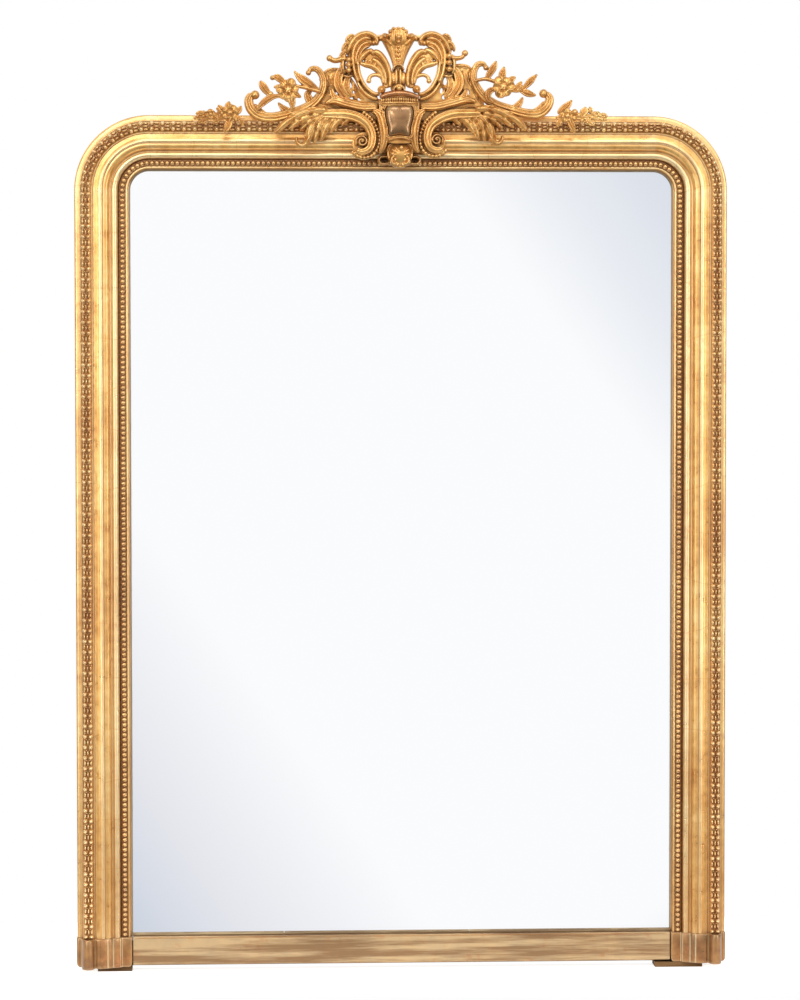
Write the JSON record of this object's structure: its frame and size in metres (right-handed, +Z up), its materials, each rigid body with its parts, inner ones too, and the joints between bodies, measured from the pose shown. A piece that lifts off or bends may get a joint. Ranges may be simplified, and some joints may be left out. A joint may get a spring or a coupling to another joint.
{
  "type": "trumeau mirror",
  "caption": "Gilt overmantel mirror with round upper corners, a beaded carved frame and a pierced crest of scrolls, acanthus and flowers.",
  "frame": {"origin": "middle of the lower cross batten's back face, on the wall plane, 36 mm above the mantel", "axes": "+Z up; the mirror faces -Y; +X to the viewer's right; the wall is the plane y = 0"},
  "size_m": [1.173, 0.101, 1.6909],
  "materials": {
    "gilt": "gilded over red bole, worn",
    "worn_gilt": "rubbed gilding, brown",
    "burnished": "burnished gilding",
    "pine": "bare softwood, aged",
    "mirror": "polished",
    "iron": "dark, satin"
  },
  "bodies": {
    "frame": {"moulding_stile_left": "gilt", "moulding_stile_right": "gilt", "moulding_corner_left": "gilt", "moulding_corner_right": "gilt", "moulding_top": "gilt", "pearls_left": "gilt", "pearls_right": "gilt", "pearls_top": "gilt", "band_left": "gilt", "band_right": "gilt", "band_top": "gilt", "plinth_left": "worn_gilt", "plinth_right": "worn_gilt", "rail_front": "worn_gilt", "stile_left": "pine", "stile_right": "pine", "corner_block_left": "pine", "corner_block_right": "pine", "top_rail": "pine", "bottom_rail": "pine", "mirror_glass": "mirror", "glazing_bead_left": "pine", "glazing_bead_right": "pine", "glazing_bead_bottom": "pine", "glazing_bead_top": "pine", "backboard_1": "pine", "backboard_2": "pine", "backboard_3": "pine", "batten_lower": "pine", "batten_upper": "pine", "packer_left": "pine", "packer_right": "pine", "hanger_left": "iron", "hanger_right": "iron", "lattice_left": "gilt", "lattice_right": "gilt", "crest_spine": "worn_gilt", "crest_rest": "pine", "s_scroll_left": "gilt", "s_scroll_right": "gilt", "c_scroll_left": "gilt", "c_scroll_right": "gilt", "plume_centre": "gilt", "plume_left": "gilt", "plume_right": "gilt", "cornice": "gilt", "cartouche": "gilt", "shield": "burnished", "pendant": "gilt", "acanthus_left": "gilt", "acanthus_right": "gilt", "flower_spray_left": "gilt", "flower_spray_right": "gilt", "garland_left": "gilt", "garland_right": "gilt"},
    "ring_left": {"ring_left": "iron"},
    "ring_right": {"ring_right": "iron"}
  },
  "joints": [
    {"name": "ring_left_hinge", "type": "hinge", "parent": "frame", "child": "ring_left", "pos_m": [-0.34, -0.0045, 1.47], "axis": [1, 0, 0], "range_deg": [0, 180]},
    {"name": "ring_right_hinge", "type": "hinge", "parent": "frame", "child": "ring_right", "pos_m": [0.34, -0.0045, 1.47], "axis": [1, 0, 0], "range_deg": [0, 180]}
  ]
}
